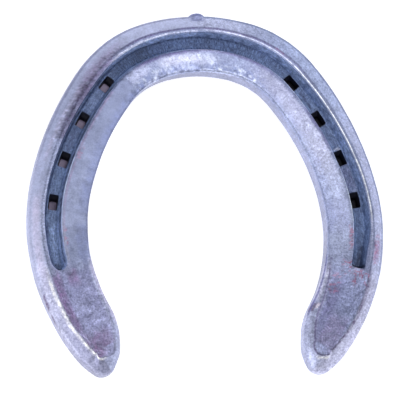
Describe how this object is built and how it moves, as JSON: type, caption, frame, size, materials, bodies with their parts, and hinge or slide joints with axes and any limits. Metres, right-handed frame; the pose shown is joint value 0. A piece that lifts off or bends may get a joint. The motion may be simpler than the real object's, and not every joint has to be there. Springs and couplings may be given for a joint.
{
  "type": "horseshoe",
  "caption": "Open U-shaped forged steel shoe for a horse's front hoof, with a bevelled rim, a groove for nail heads and punched rectangular nail holes.",
  "frame": {"origin": "on the foot surface, under the middle of the overall width and length", "axes": "+Z from the foot surface to the ground surface, +Y from the open heels to the toe, +X to the right of both"},
  "size_m": [0.1302, 0.1324, 0.008],
  "materials": {
    "forged_steel": "satin forged mild steel, bright where it has rubbed, dark scale left in the crease"
  },
  "bodies": {
    "root": {"shoe_forging": "forged_steel"}
  },
  "joints": []
}
